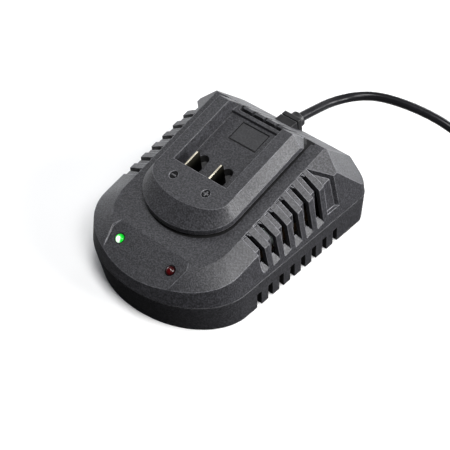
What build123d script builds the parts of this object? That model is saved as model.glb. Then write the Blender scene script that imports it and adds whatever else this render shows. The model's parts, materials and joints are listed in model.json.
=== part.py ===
"""Compact charger for slide-on power tool batteries, with its mains lead.

The origin is the bottom centre of the housing. The rounded front faces -Y, the lead leaves at +Y
and +Z is up. Sizes are millimetres. The deck, the dock and the rim rise towards the rear, so most
sections are drawn in plan on planes that tilt about the X axis.
"""

import os
from math import radians, sqrt, tan

from build123d import *

os.makedirs("parts", exist_ok=True)


# ---------------------------------------------------------------------------------------------
# Driving dimensions
# ---------------------------------------------------------------------------------------------

# Housing shell: each section is (half width, centre of the elliptical front, its depth, rear, corner)
wall = 2.4
housing_base = 0.4
parting = 17.0
parting_gap = 0.3
base_outline = (47.3, -30.0, 30.9, 60.5, 7.0)
parting_outline = (49.0, -30.0, 32.5, 62.5, 7.0)
rim_outline = (47.2, -31.0, 28.7, 61.5, 6.0)
deck_outline = (36.85, -25.0, 28.0, 62.0, 2.0)

# Planes that rise to the rear: height above the origin and rise per millimetre
rim_height, rim_rise = 36.1, 0.20
deck_height, deck_rise = 41.84, 0.235
rear_slope_reach = 96.05          # the 45 degree rear plane is Y + Z = this
corner_facet_normal = (0.646, 0.561, 0.517)
corner_facet_reach = 76.2

# Dock platform above the deck
dock_top = 11.18
lip_height = 2.7
chamfer_drop = 6.0
top_outline = (25.1, -12.66, 11.1, 62.0, 1.0)
lip_outline = (29.6, -12.7, 20.25, 62.0, 1.0)
neck_outline = (27.5, -12.7, 18.1, 62.0, 1.0)
lip_corner_normal = (0.699, 0.505, 0.505)
lip_corner_point = (25.1, 34.8, 61.2)

# Channel between the rails, and what is cut into its floor
channel_half_width = 18.1
channel_front = -6.4
floor_above_deck = 2.0
bar_front, bar_top = 36.0, 54.0
latch_slot_y, latch_slot_width, latch_slot_half = 39.3, 2.0, 15.5
well_width, well_rear = 6.4, 9.0
cover_size, cover_y, cover_depth, cover_gap = (17.7, 11.3), 28.55, 0.8, 0.25
mark_place, mark_diameter, mark_depth = (11.1, -13.75), 4.8, 0.5

# Contacts
blade_x = (-10.9, 5.6)
blade_thickness = 0.8
blade_rear = 4.15
blade_root = 1.6
blade_below_top = 0.8
blade_foot = 29.0

# Louvres in both flanks
louvre_pitch = 8.0
louvre_count = 6
first_slot = -14.7
slot_width = 2.0
louvre_width = 4.6
louvre_depth = 1.8
louvre_foot = 20.6
facet_height = 4.2
blind_bay_foot = 24.0

# Comb of notches along the foot of each flank
notch_pitch, notch_count, first_notch = 8.0, 8, -20.7
notch_width, notch_top = 3.3, 9.9

# Vents and grooves on the rear slope
vent_pitch, vent_count = 8.0, 7
vent_width, vent_length, vent_y = 2.0, 7.0, 43.6
groove_width, groove_depth = 0.8, 0.8
groove_start, groove_end = 46.0, 60.0

# Indicator recess and the two 5 mm lamps
panel_height, panel_rise = 51.6, 0.474
panel_half_top, panel_half_mid, panel_half_rim = 23.0, 25.5, 20.5
lamp_x, lamp_y = 17.8, -48.4
lamp_diameter, lamp_flange = 5.0, 5.8
lamp_body, lamp_sunk = 6.0, 0.5

# Lead, strain relief and plug
cord_diameter = 5.0
cord_height = 38.3
cord_front, cord_exit = 42.0, 64.5
collar_half_width, collar_low, collar_high = 5.5, 32.0, 43.3
collar_front, collar_groove, collar_rear = 52.5, 57.6, 61.0
clamp_front = 42.0

cord_sides = 12
coil_place, coil_outer, coil_inner, coil_height = (139.0, 82.0), 37.5, 15.0, 10.0

plug_neck, plug_back, plug_thickness, plug_edge = 8.0, 5.5, 13.7, 1.2
plug_waist, plug_half_waist, plug_face, plug_half_face = 26.0, 17.65, 35.0, 13.0
pin_diameter, pin_length, pin_spacing = 4.0, 19.0, 18.6

# Inside
board_half_width, board_front, board_rear = 32.0, -42.0, 46.0
board_low, board_thickness = 8.2, 1.6
board_top = board_low + board_thickness
post_size, standoff_size = 7.5, 6.0
post_places = ((36.5, -30.0), (37.5, 48.0))
standoff_places = ((28.0, -37.0), (28.0, 41.0))
screw_shank, screw_head = 3.0, 5.6
foot_places = ((35.0, -41.0), (38.5, 36.0))
foot_width, foot_length, foot_thickness = 8.0, 12.0, 1.6


# ---------------------------------------------------------------------------------------------
# Sections and planes
# ---------------------------------------------------------------------------------------------

def rising(height, rise):
    """Plane through (0, 0, height) that rises towards the rear."""
    return Plane(origin=(0, 0, height), x_dir=(1, 0, 0), z_dir=(0, -rise, 1))


def section(height, rise, outline, inset=0.0):
    """Face of one housing section, drawn in plan sizes on a rising plane."""
    half_width, centre, depth, rear, corner = outline
    stretch = sqrt(1 + rise**2)
    half_width -= inset
    depth -= inset
    rear -= inset
    corner = max(corner - inset, 1.0)
    side = half_width - corner
    back = (rear - corner) * stretch
    with BuildSketch(rising(height, rise)) as face:
        with BuildLine():
            EllipticalCenterArc((0, centre * stretch), half_width, depth * stretch, 180, arc_size=180)
            Line((half_width, centre * stretch), (half_width, back))
            EllipticalCenterArc((side, back), corner, corner * stretch, 0, arc_size=90)
            Line((side, rear * stretch), (-side, rear * stretch))
            EllipticalCenterArc((-side, back), corner, corner * stretch, 90, arc_size=90)
            Line((-half_width, back), (-half_width, centre * stretch))
        make_face()
    return face.sketch


def rear_slope(inset=0.0):
    """The 45 degree plane that closes the rear of the upper housing."""
    reach = rear_slope_reach - inset * sqrt(2)
    return Plane(origin=(0, 0, reach), x_dir=(1, 0, 0), z_dir=(0, 1, 1))


def corner_facet(side, inset=0.0):
    """The facet that takes off one rear corner, side being 1 or -1."""
    normal = Vector(corner_facet_normal[0] * side, *corner_facet_normal[1:])
    return Plane(origin=normal * (corner_facet_reach - inset), z_dir=normal)


def keep(piece, name):
    """Label one finished piece and write its file."""
    piece.part.label = name
    export_step(piece.part, f"parts/{name}.step")


def at_both_sides(places):
    """The places given for the right side, with their mirror images."""
    return [(side * x, y) for x, y in places for side in (1, -1)]


# ---------------------------------------------------------------------------------------------
# Upper housing
# ---------------------------------------------------------------------------------------------

# The dock: a neck, a lip that overhangs it all round, and a wide chamfer up to the flat rails
with BuildPart() as dock:
    top = deck_height + dock_top
    lip_top = top - chamfer_drop
    lip_low = lip_top - lip_height
    loft([section(deck_height - 1, deck_rise, neck_outline),
          section(lip_low, deck_rise, neck_outline)], ruled=True)
    loft([section(lip_low, deck_rise, lip_outline),
          section(lip_top, deck_rise, lip_outline)], ruled=True)
    loft([section(lip_top, deck_rise, lip_outline),
          section(top, deck_rise, top_outline)], ruled=True)
    for side in (1, -1):
        normal = (lip_corner_normal[0] * side, *lip_corner_normal[1:])
        corner = (lip_corner_point[0] * side, *lip_corner_point[1:])
        split(bisect_by=Plane(origin=corner, z_dir=normal), keep=Keep.BOTTOM)
    # channel, open upwards and to the rear
    floor = deck_height + floor_above_deck
    with BuildSketch(rising(floor, deck_rise)):
        stretch = sqrt(1 + deck_rise**2)
        with Locations((0, (channel_front + bar_front) / 2 * stretch)):
            Rectangle(2 * channel_half_width, (bar_front - channel_front) * stretch)
    extrude(amount=30, dir=(0, 0, 1), mode=Mode.SUBTRACT)
    with BuildSketch(Plane.XY.offset(bar_top)):
        with Locations((0, bar_front)):
            Rectangle(2 * channel_half_width, 60, align=(Align.CENTER, Align.MIN))
    extrude(amount=30, mode=Mode.SUBTRACT)
    # round recesses that carry the polarity signs
    with BuildSketch(rising(top - mark_depth, deck_rise)):
        with Locations(*[(x, mark_place[1] * stretch) for x in (mark_place[0], -mark_place[0])]):
            Circle(mark_diameter / 2)
    extrude(amount=5, mode=Mode.SUBTRACT)

def inner_form(inset, low=parting):
    """The upper housing's outer form, without the dock, drawn in by an inset all round."""
    rim_section = section(rim_height - inset, rim_rise, rim_outline, inset)
    with BuildPart() as form:
        loft([section(low, 0, parting_outline, inset), rim_section], ruled=True)
        loft([rim_section, section(deck_height - inset, deck_rise, deck_outline, inset)], ruled=True)
        split(bisect_by=rear_slope(inset), keep=Keep.BOTTOM)
        for side in (1, -1):
            split(bisect_by=corner_facet(side, inset), keep=Keep.BOTTOM)
    return form.part


# Space inside the upper housing: the posts and a full wall below the lamp recess are left standing
with BuildPart() as upper_space:
    add(inner_form(wall))
    with BuildSketch(rising(panel_height - wall, panel_rise)):
        with Locations((0, -42 * sqrt(1 + panel_rise**2))):
            Rectangle(2 * panel_half_mid + 4, 50, align=(Align.CENTER, Align.MAX))
    extrude(amount=20, mode=Mode.SUBTRACT)
    with BuildSketch(Plane.XY.offset(parting)):
        with Locations(*at_both_sides(post_places)):
            Rectangle(post_size, post_size)
    extrude(amount=60, mode=Mode.SUBTRACT)

# What the louvres take out of the right flank: a stepped recess behind each rib
with BuildPart() as louvre_recess:
    for bay in range(louvre_count):
        rear = first_slot + slot_width + bay * louvre_pitch
        front = rear - louvre_width
        rim_z = rim_height + rim_rise * front
        deck_z = deck_height + deck_rise * front
        rim_x = rim_outline[0]
        deck_x = deck_outline[0]
        with BuildSketch(Plane(origin=(0, front, 0), x_dir=(1, 0, 0), z_dir=(0, -1, 0))):
            with BuildLine():
                Polyline((rim_x + 4, louvre_foot - 3),
                         (rim_x + 1.2, louvre_foot),
                         (rim_x - louvre_depth, louvre_foot + facet_height),
                         (rim_x - louvre_depth, rim_z + 0.5),
                         (deck_x + 1, deck_z - 1.1),
                         (deck_x, deck_z - 1.0),
                         (deck_x, deck_z + 4),
                         (rim_x + 4, deck_z + 4),
                         close=True)
            make_face()
        extrude(amount=louvre_width, dir=(0, 1, rim_rise))
    # the recess ends in an oblique facet at the front
    with BuildSketch(Plane.YZ.offset(60)):
        with BuildLine():
            Polyline((-16.0, 40.5), (-22.5, 31.6), (-15.6, 20.0), (60, 10), (60, 70), (-16, 70), close=True)
        make_face()
    extrude(amount=-30, mode=Mode.INTERSECT)

# Blind bay behind the last rib, closed by an oblique end wall and no deeper than the wall allows
with BuildPart() as blind_bay:
    with BuildSketch(Plane.XY.offset(blind_bay_foot)):
        with BuildLine():
            Polyline((deck_x - 0.1, 29.6), (rim_x - 4, 30.7), (rim_x + 4, 30.7), (rim_x + 4, 41.4), close=True)
        make_face()
    extrude(amount=40)
    add(inner_form(louvre_depth), mode=Mode.SUBTRACT)

# The slots between the louvres, through the wall
with BuildPart() as louvre_slots:
    with BuildSketch(Plane.YZ.offset(deck_outline[0])):
        for slot in range(louvre_count):
            front = first_slot + slot * louvre_pitch
            rear = front + slot_width
            low = louvre_foot + 1.0
            high = deck_height + deck_rise * front
            with BuildLine():
                Polyline((front, low + facet_height), (rear, low), (rear, high - 1.5), (front, high - 0.5),
                         close=True)
            make_face()
    extrude(amount=20)

with BuildPart() as upper_housing:
    add(inner_form(0, parting + parting_gap))
    add(dock.part)
    split(bisect_by=rear_slope(), keep=Keep.BOTTOM)
    add(upper_space.part, mode=Mode.SUBTRACT)
    for cutter in (louvre_recess.part, blind_bay.part, louvre_slots.part):
        add(cutter, mode=Mode.SUBTRACT)
        add(cutter.mirror(Plane.YZ), mode=Mode.SUBTRACT)
    # indicator recess in the front shoulder
    with BuildSketch(rising(panel_height, panel_rise)):
        stretch = sqrt(1 + panel_rise**2)
        with BuildLine():
            Polyline((panel_half_top, -39.5 * stretch), (panel_half_mid, -45 * stretch),
                     (panel_half_rim, -66 * stretch), (-panel_half_rim, -66 * stretch),
                     (-panel_half_mid, -45 * stretch), (-panel_half_top, -39.5 * stretch), close=True)
        make_face()
    extrude(amount=8, taper=-25, mode=Mode.SUBTRACT)
    # holes for the lamps
    with BuildSketch(rising(panel_height, panel_rise)):
        with Locations((lamp_x, lamp_y * stretch), (-lamp_x, lamp_y * stretch)):
            Circle(lamp_diameter / 2)
    extrude(amount=6, both=True, mode=Mode.SUBTRACT)
    # arched wells that the contact blades stand in, and the slits that hold their front edges
    with BuildSketch(Plane.XY.offset(blade_foot)):
        for x in blade_x:
            with Locations((x, channel_front)):
                Rectangle(well_width, well_rear - channel_front - well_width / 2,
                          align=(Align.CENTER, Align.MIN))
            with Locations((x, well_rear - well_width / 2)):
                Circle(well_width / 2)
    extrude(amount=22, mode=Mode.SUBTRACT)
    with BuildSketch(rising(top - blade_below_top, deck_rise)):
        with Locations(*[(x, channel_front * sqrt(1 + deck_rise**2)) for x in blade_x]):
            Rectangle(blade_thickness, 2 * blade_root * sqrt(1 + deck_rise**2))
    extrude(amount=-30, dir=(0, 0, 1), mode=Mode.SUBTRACT)
    # latch slot across the rear bar
    with BuildSketch(Plane.XY.offset(bar_top)):
        with Locations((0, latch_slot_y)):
            Rectangle(2 * latch_slot_half, latch_slot_width)
    extrude(amount=-12, mode=Mode.SUBTRACT)
    # vents across the ridge, each continued by a groove down the slope
    with BuildSketch(Plane(origin=(0, vent_y, rear_slope_reach - vent_y), x_dir=(1, 0, 0),
                           z_dir=(0, 1, 1))):
        with GridLocations(vent_pitch, 0, vent_count, 1):
            Rectangle(vent_width, vent_length)
    extrude(amount=-8, mode=Mode.SUBTRACT)
    groove_middle = (groove_start + groove_end) / 2
    with BuildSketch(Plane(origin=(0, groove_middle, rear_slope_reach - groove_middle),
                           x_dir=(1, 0, 0), z_dir=(0, 1, 1))):
        with GridLocations(vent_pitch, 0, vent_count, 1):
            Rectangle(groove_width, (groove_end - groove_start) * sqrt(2))
    extrude(amount=-groove_depth, mode=Mode.SUBTRACT)
    # opening for the strain relief
    with BuildSketch(Plane.XY.offset(collar_low)):
        with Locations((0, collar_rear)):
            Rectangle(2 * collar_half_width, 20)
    extrude(amount=collar_high - collar_low, mode=Mode.SUBTRACT)
    # pocket for the cover panel in the channel floor
    with BuildSketch(rising(floor, deck_rise)):
        with Locations((0, cover_y * sqrt(1 + deck_rise**2))):
            Rectangle(*cover_size)
    extrude(amount=-cover_depth, mode=Mode.SUBTRACT)
    # pilot holes in the posts
    with BuildSketch(Plane.XY.offset(parting)):
        with Locations(*at_both_sides(post_places)):
            Circle(screw_shank / 2)
    extrude(amount=10, mode=Mode.SUBTRACT)


# ---------------------------------------------------------------------------------------------
# Lower housing
# ---------------------------------------------------------------------------------------------

with BuildPart() as lower_space:
    loft([section(housing_base + wall, 0, base_outline, wall),
          section(parting, 0, parting_outline, wall)], ruled=True)
    with BuildSketch(Plane.XY.offset(housing_base)):
        with Locations(*at_both_sides(post_places)):
            Rectangle(post_size, post_size)
    extrude(amount=parting, mode=Mode.SUBTRACT)
    with BuildSketch(Plane.XY.offset(housing_base)):
        with Locations(*at_both_sides(standoff_places)):
            Rectangle(standoff_size, standoff_size)
    extrude(amount=board_low - housing_base, mode=Mode.SUBTRACT)

with BuildPart() as lower_housing:
    loft([section(housing_base, 0, base_outline), section(parting, 0, parting_outline)], ruled=True)
    add(lower_space.part, mode=Mode.SUBTRACT)
    # comb of ventilation notches, open at the bottom
    with BuildSketch(Plane.XY.offset(housing_base)):
        for notch in range(notch_count):
            for side in (1, -1):
                with Locations((side * base_outline[0], first_notch + notch * notch_pitch)):
                    Rectangle(2 * wall + 3, notch_width)
    extrude(amount=notch_top - housing_base, mode=Mode.SUBTRACT)
    # counterbored screw holes and pockets for the feet
    with BuildSketch(Plane.XY):
        with Locations(*at_both_sides(post_places)):
            Circle(screw_head / 2 + 0.4)
    extrude(amount=parting / 2, mode=Mode.SUBTRACT)
    with BuildSketch(Plane.XY):
        with Locations(*at_both_sides(post_places)):
            Circle(screw_shank / 2)
    extrude(amount=parting, mode=Mode.SUBTRACT)
    with BuildSketch(Plane.XY):
        with Locations(*at_both_sides(foot_places)):
            Rectangle(foot_width, foot_length)
    extrude(amount=foot_thickness, mode=Mode.SUBTRACT)

keep(upper_housing, "upper_housing")
keep(lower_housing, "lower_housing")


# ---------------------------------------------------------------------------------------------
# Parts that show on the outside
# ---------------------------------------------------------------------------------------------

# Contact blades: flat strips on edge, with a chamfered rear end and a foot below the dock floor
for name, x in zip(("contact_blade_negative", "contact_blade_positive"), blade_x):
    front = channel_front - blade_root
    crest = top - blade_below_top
    with BuildPart() as blade:
        with BuildSketch(Plane.YZ.offset(x)):
            with BuildLine():
                Polyline((front, blade_foot), (blade_rear - 2, blade_foot), (blade_rear, blade_foot + 3),
                         (blade_rear, crest + deck_rise * blade_rear - 1.2),
                         (blade_rear - 1, crest + deck_rise * (blade_rear - 1)),
                         (front, crest + deck_rise * front), close=True)
            make_face()
        extrude(amount=blade_thickness / 2, both=True)
    keep(blade, name)

# Blank cover panel let into the channel floor
with BuildPart() as cover_panel:
    with BuildSketch(rising(floor, deck_rise)):
        with Locations((0, cover_y * sqrt(1 + deck_rise**2))):
            Rectangle(cover_size[0] - 2 * cover_gap, cover_size[1] - 2 * cover_gap)
    extrude(amount=-cover_depth)
keep(cover_panel, "cover_panel")

def lamp_plane(x):
    """Plane across the root of a lamp's round nose, just below the floor of the recess."""
    seat = (x, lamp_y, panel_height + panel_rise * lamp_y)
    return Plane(origin=seat, x_dir=(1, 0, 0), z_dir=(0, -panel_rise, 1)).offset(-lamp_sunk)


# Indicator lamps: round-nosed, with a flange at the foot of the body
for name, side in (("lamp_green", -1), ("lamp_red", 1)):
    with BuildPart(lamp_plane(side * lamp_x)) as lamp:
        Sphere(lamp_diameter / 2)
        Cylinder(lamp_diameter / 2, lamp_body, align=(Align.CENTER, Align.CENTER, Align.MAX))
        with Locations((0, 0, -lamp_body)):
            Cylinder(lamp_flange / 2, 1, align=(Align.CENTER, Align.CENTER, Align.MIN))
    keep(lamp, name)

# Bridge under the indicator recess that holds both lamps by their flanges
with BuildPart(lamp_plane(0).offset(-lamp_body)) as lamp_bridge:
    Box(2 * lamp_x + 9, 8, 2, align=(Align.CENTER, Align.CENTER, Align.MAX))
keep(lamp_bridge, "lamp_bridge")

# Strain relief: a block that fills the opening in the rear slope, a groove, a flange and a nose
collar_middle = (collar_low + collar_high) / 2
collar_size = (2 * collar_half_width, collar_high - collar_low)
with BuildPart() as strain_relief:
    with BuildSketch(Plane.XZ.offset(-collar_front)):
        with Locations((0, collar_middle)):
            Rectangle(*collar_size)
    extrude(amount=collar_front - collar_groove)
    with BuildSketch(Plane.XZ.offset(-collar_groove)):
        with Locations((0, collar_middle)):
            Rectangle(collar_size[0] - 2, collar_size[1] - 2)
    extrude(amount=-groove_width)
    with BuildSketch(Plane.XZ.offset(-collar_groove - groove_width)):
        with Locations((0, collar_middle)):
            Rectangle(*collar_size)
    extrude(amount=collar_groove + groove_width - collar_rear)
    with BuildSketch(Plane.XZ.offset(-collar_rear)):
        with Locations((0, cord_height)):
            Circle(cord_diameter / 2 + 1.8)
    extrude(amount=collar_rear - cord_exit)
    with BuildSketch(Plane.XZ.offset(-collar_front)):
        with Locations((0, cord_height)):
            Circle(cord_diameter / 2)
    extrude(amount=collar_front - cord_exit, mode=Mode.SUBTRACT)
keep(strain_relief, "strain_relief")


# ---------------------------------------------------------------------------------------------
# Fixings
# ---------------------------------------------------------------------------------------------

with BuildPart() as rubber_feet:
    with BuildSketch(Plane.XY):
        with Locations(*at_both_sides(foot_places)):
            Rectangle(foot_width, foot_length)
    extrude(amount=foot_thickness)
    chamfer(rubber_feet.edges().group_by(Axis.Z)[0], length=0.3)
keep(rubber_feet, "rubber_feet")

with BuildPart() as housing_screws:
    with BuildSketch(Plane.XY.offset(parting / 2)):
        with Locations(*at_both_sides(post_places)):
            Circle(screw_head / 2)
    extrude(amount=-2)
    with BuildSketch(Plane.XY.offset(parting / 2)):
        with Locations(*at_both_sides(post_places)):
            Circle(screw_shank / 2)
    extrude(amount=parting / 2 + 8)
keep(housing_screws, "housing_screws")


# ---------------------------------------------------------------------------------------------
# Inside: the board and what stands on it
# ---------------------------------------------------------------------------------------------

with BuildPart() as circuit_board:
    with BuildSketch(Plane.XY.offset(board_low)):
        with Locations((0, (board_front + board_rear) / 2)):
            Rectangle(2 * board_half_width, board_rear - board_front)
    extrude(amount=board_thickness)
keep(circuit_board, "circuit_board")

# Transformer: two E-shaped core halves closed round a wound bobbin
core_x, core_y = -13.0, 28.0
core_width, core_depth, core_height = 28.0, 10.0, 24.0
core_leg, core_window = 5.0, 14.0
with BuildPart() as transformer_core:
    with BuildSketch(Plane.XZ.offset(-core_y)):
        with Locations((core_x, board_top + core_height / 2)):
            Rectangle(core_width, core_height)
        with Locations((core_x - core_width / 4 + core_leg / 4, board_top + core_height / 2),
                       (core_x + core_width / 4 - core_leg / 4, board_top + core_height / 2)):
            Rectangle(core_width / 4 - core_leg / 4, core_window, mode=Mode.SUBTRACT)
    extrude(amount=core_depth / 2, both=True)
keep(transformer_core, "transformer_core")

with BuildPart() as transformer_winding:
    with BuildSketch(Plane.XY.offset(board_top + (core_height - core_window) / 2)):
        with Locations((core_x, core_y)):
            RectangleRounded(core_width - 2 * core_leg - 1, core_depth + 2 * core_leg, 3)
    extrude(amount=core_window)
    add(transformer_core.part, mode=Mode.SUBTRACT)
keep(transformer_winding, "transformer_winding")

# Mains smoothing capacitor, standing
with BuildPart(Plane((21, 26, board_top))) as mains_capacitor:
    Cylinder(8, 24, align=(Align.CENTER, Align.CENTER, Align.MIN))
    chamfer(mains_capacitor.edges().group_by(Axis.Z)[-1], length=0.7)
keep(mains_capacitor, "mains_capacitor")

with BuildPart() as output_capacitors:
    with BuildSketch(Plane.XY.offset(board_top)):
        with Locations((-12, -24), (0, -24)):
            Circle(5)
    extrude(amount=14)
    chamfer(output_capacitors.edges().group_by(Axis.Z)[-1], length=0.5)
keep(output_capacitors, "output_capacitors")

# Heat sinks: a plate with three fins each
for name, x, y, side in (("transistor_heat_sink", 26, -8, 1), ("rectifier_heat_sink", -26, -12, -1)):
    with BuildPart() as heat_sink:
        with BuildSketch(Plane.XY.offset(board_top)):
            with Locations((x, y)):
                Rectangle(2, 24)
            for fin in (-1, 0, 1):
                with Locations((x + side * 2.5, y + fin * 10)):
                    Rectangle(3.2, 1.6)
        extrude(amount=18)
    keep(heat_sink, name)

for name, x, y in (("switching_transistor", 22.6, -8), ("output_rectifier", -22.6, -12)):
    with BuildPart() as package:
        with BuildSketch(Plane.XY.offset(board_top + 3)):
            with Locations((x, y)):
                Rectangle(4.8, 10)
        extrude(amount=12)
        with BuildSketch(Plane.XY.offset(board_top)):
            with Locations(*[(x, y + leg * 2.54) for leg in (-1, 0, 1)]):
                Rectangle(0.6, 0.9)
        extrude(amount=4)
    keep(package, name)

# Mains input: fuse, suppression choke and suppression capacitor
with BuildPart(Plane(origin=(25, 9, board_top + 3.2), x_dir=(0, 1, 0), z_dir=(1, 0, 0))) as fuse:
    Cylinder(2.4, 10)
    with Locations((0, 0, 6), (0, 0, -6)):
        Cylinder(2.7, 4)
keep(fuse, "fuse")

choke_place = Plane((-16, 9, board_top))
with BuildPart() as choke_core:
    with BuildSketch(choke_place):
        Circle(8)
        Circle(4.5, mode=Mode.SUBTRACT)
    extrude(amount=6)
keep(choke_core, "choke_core")

with BuildPart(Plane((16, 41, board_top))) as suppression_capacitor:
    Box(13, 6, 11, align=(Align.CENTER, Align.CENTER, Align.MIN))
    chamfer(suppression_capacitor.edges().filter_by(Axis.Z), length=0.8)
keep(suppression_capacitor, "suppression_capacitor")

for name, x, y, size in (("controller_chip", 10, -14, (8, 5, 1.7)), ("optocoupler", 14, -3, (6.5, 4.6, 3.4))):
    with BuildPart(Plane((x, y, board_top))) as chip:
        Box(*size, align=(Align.CENTER, Align.CENTER, Align.MIN))
        chamfer(chip.faces().sort_by(Axis.Z)[-1].edges(), length=0.3)
    keep(chip, name)

# Carrier under the dock floor that grips the feet of the two blades
with BuildPart() as contact_carrier:
    with BuildSketch(Plane.XY.offset(blade_foot + 2)):
        with Locations((sum(blade_x) / 2, 0)):
            Rectangle(blade_x[1] - blade_x[0] + 9, 19)
    extrude(amount=20)
    split(bisect_by=rising(deck_height - wall, deck_rise), keep=Keep.BOTTOM)
    with BuildSketch(Plane.XY.offset(blade_foot)):
        with Locations(*[(x, (channel_front - blade_root + blade_rear) / 2) for x in blade_x]):
            Rectangle(blade_thickness, blade_rear - channel_front + blade_root)
    extrude(amount=30, mode=Mode.SUBTRACT)
keep(contact_carrier, "contact_carrier")

# Clamp that holds the lead inside the rear wall, with its post on the board
with BuildPart() as cord_clamp:
    with BuildSketch(Plane.XZ.offset(-clamp_front)):
        with Locations((0, (board_top + cord_height + 5) / 2)):
            Rectangle(12, cord_height + 5 - board_top)
        with Locations((0, cord_height)):
            Circle(cord_diameter / 2, mode=Mode.SUBTRACT)
    extrude(amount=-5)
keep(cord_clamp, "cord_clamp")

# Lead wires: two from the lead to the board, two from the board to the feet of the blades
with BuildPart() as mains_wires:
    for x in (-1.2, 1.2):
        with BuildLine():
            Polyline((x, cord_front, cord_height), (x, cord_front - 6, cord_height),
                     (4 * x + 2, cord_front - 7, board_top + 6), (4 * x + 2, cord_front - 7, board_top))
        with BuildSketch(Plane.XZ.offset(-cord_front)):
            with Locations((x, cord_height)):
                Circle(0.8)
        sweep(transition=Transition.RIGHT)
keep(mains_wires, "mains_wires")

with BuildPart() as output_wires:
    for x in blade_x:
        with BuildSketch(Plane.XY.offset(board_top)):
            with Locations((x, 0)):
                Circle(1)
        extrude(amount=blade_foot - board_top)
keep(output_wires, "output_wires")


# ---------------------------------------------------------------------------------------------
# Mains lead: the free stretch, the wound length, its tail and the two-pin plug that lies on it
# ---------------------------------------------------------------------------------------------

cord_radius = cord_diameter / 2
cord_route = [(0, cord_front, cord_height), (0, 65, cord_height), (-0.4, 78, 35.2), (-0.5, 91.7, 31.5),
              (5.2, 103.9, 30), (16, 112, 29.6), (37.5, 116.6, 28.5), (58, 118.5, 25), (82, 118.6, 14),
              (104, 117.6, cord_radius), (124, 117.1, cord_radius)]
tail_route = [(104.3, 81.4, 7.5), (109.6, 104.3, 8.2), (134.1, 119.2, 9.7), (156.3, 113.6, 13),
              (167.6, 100.9, 14.5), (170, 84.1, 16), (162.8, 68.7, 16.9)]


def tangent_radii(points):
    """Radius at each corner of a route: as large as the shorter of its two runs allows."""
    radii = []
    for before, corner, after in zip(points, points[1:], points[2:]):
        run_in = Vector(*corner) - Vector(*before)
        run_out = Vector(*after) - Vector(*corner)
        half_turn = radians(run_in.get_angle(run_out)) / 2
        radii.append(0.45 * min(run_in.length, run_out.length) / tan(half_turn))
    return radii


for name, route in (("mains_cord", cord_route), ("mains_cord_tail", tail_route)):
    first_run = Vector(*route[1]) - Vector(*route[0])
    with BuildPart() as tube:
        with BuildLine() as tube_path:
            FilletPolyline(*route, radius=tangent_radii(route))
        with BuildSketch(Plane(origin=route[0], z_dir=first_run)) as tube_section:
            RegularPolygon(cord_radius, cord_sides)
        sweep()
    keep(tube, name)
    length = sum(edge.length for edge in tube_path.edges())
    print(name, "radii", [round(radius, 1) for radius in tangent_radii(route)], "length", round(length, 1),
          "volume ratio", round(tube.part.volume / (length * tube_section.sketch.area), 4))

with BuildPart() as mains_cord_coil:
    with BuildSketch(Plane((*coil_place, 0))):
        Circle(coil_outer)
        Circle(coil_inner, mode=Mode.SUBTRACT)
    extrude(amount=coil_height)
keep(mains_cord_coil, "mains_cord_coil")

# Flat two-pin plug: a flexible neck, a body that widens towards its face, and two round pins
plug_start = Vector(*tail_route[-2])
plug_way = Vector(*tail_route[-1]) - plug_start
plug_way = Vector(plug_way.X, plug_way.Y, 0).normalized()
plug_level = coil_height + plug_thickness / 2
plug_place = Vector(plug_start.X, plug_start.Y, plug_level) + plug_way * (cord_diameter + 2)
along_plug = Plane(origin=plug_place, x_dir=(0, 0, 1), z_dir=plug_way)
with BuildPart() as plug_body:
    with BuildSketch(Plane(origin=plug_place, x_dir=plug_way, z_dir=(0, 0, 1))):
        with BuildLine():
            Polyline((plug_neck, plug_back), (plug_waist, plug_half_waist), (plug_face, plug_half_face),
                     (plug_face, -plug_half_face), (plug_waist, -plug_half_waist), (plug_neck, -plug_back),
                     close=True)
        make_face()
    extrude(amount=plug_thickness / 2, both=True)
    chamfer(plug_body.edges(), length=plug_edge)
    with BuildSketch(along_plug):
        Circle(cord_radius + 1)
    with BuildSketch(along_plug.offset(plug_neck + plug_edge)):
        Circle(plug_back - 0.5)
    loft()
keep(plug_body, "plug_body")

with BuildPart() as plug_pins:
    with BuildSketch(along_plug.offset(plug_face)):
        with Locations((0, pin_spacing / 2), (0, -pin_spacing / 2)):
            Circle(pin_diameter / 2)
    extrude(amount=pin_length)
    chamfer(plug_pins.faces().sort_by(Axis(plug_place, plug_way))[-2:].edges(), length=pin_diameter / 4)
keep(plug_pins, "plug_pins")
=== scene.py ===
import json
import math

import bmesh
import bpy
from mathutils import Matrix, Vector

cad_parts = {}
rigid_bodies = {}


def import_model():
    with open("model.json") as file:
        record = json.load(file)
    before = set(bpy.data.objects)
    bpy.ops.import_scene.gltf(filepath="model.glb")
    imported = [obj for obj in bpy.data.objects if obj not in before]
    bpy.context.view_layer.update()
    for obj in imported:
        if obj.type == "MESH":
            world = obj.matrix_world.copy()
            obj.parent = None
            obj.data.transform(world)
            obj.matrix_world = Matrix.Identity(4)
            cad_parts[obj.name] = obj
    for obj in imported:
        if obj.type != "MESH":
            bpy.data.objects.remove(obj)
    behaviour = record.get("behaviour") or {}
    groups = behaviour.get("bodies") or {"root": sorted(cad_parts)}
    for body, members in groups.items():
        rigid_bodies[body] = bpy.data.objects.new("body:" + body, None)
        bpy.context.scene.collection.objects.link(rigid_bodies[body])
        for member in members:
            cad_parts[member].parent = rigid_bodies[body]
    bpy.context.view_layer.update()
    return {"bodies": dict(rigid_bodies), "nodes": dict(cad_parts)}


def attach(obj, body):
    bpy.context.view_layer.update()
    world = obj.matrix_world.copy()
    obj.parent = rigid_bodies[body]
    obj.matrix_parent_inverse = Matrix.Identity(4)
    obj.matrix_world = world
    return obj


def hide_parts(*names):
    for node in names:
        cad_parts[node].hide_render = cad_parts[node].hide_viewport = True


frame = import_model()
scene = bpy.context.scene
scene.view_settings.view_transform = "Standard"
charger = next(iter(frame["bodies"]))


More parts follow.
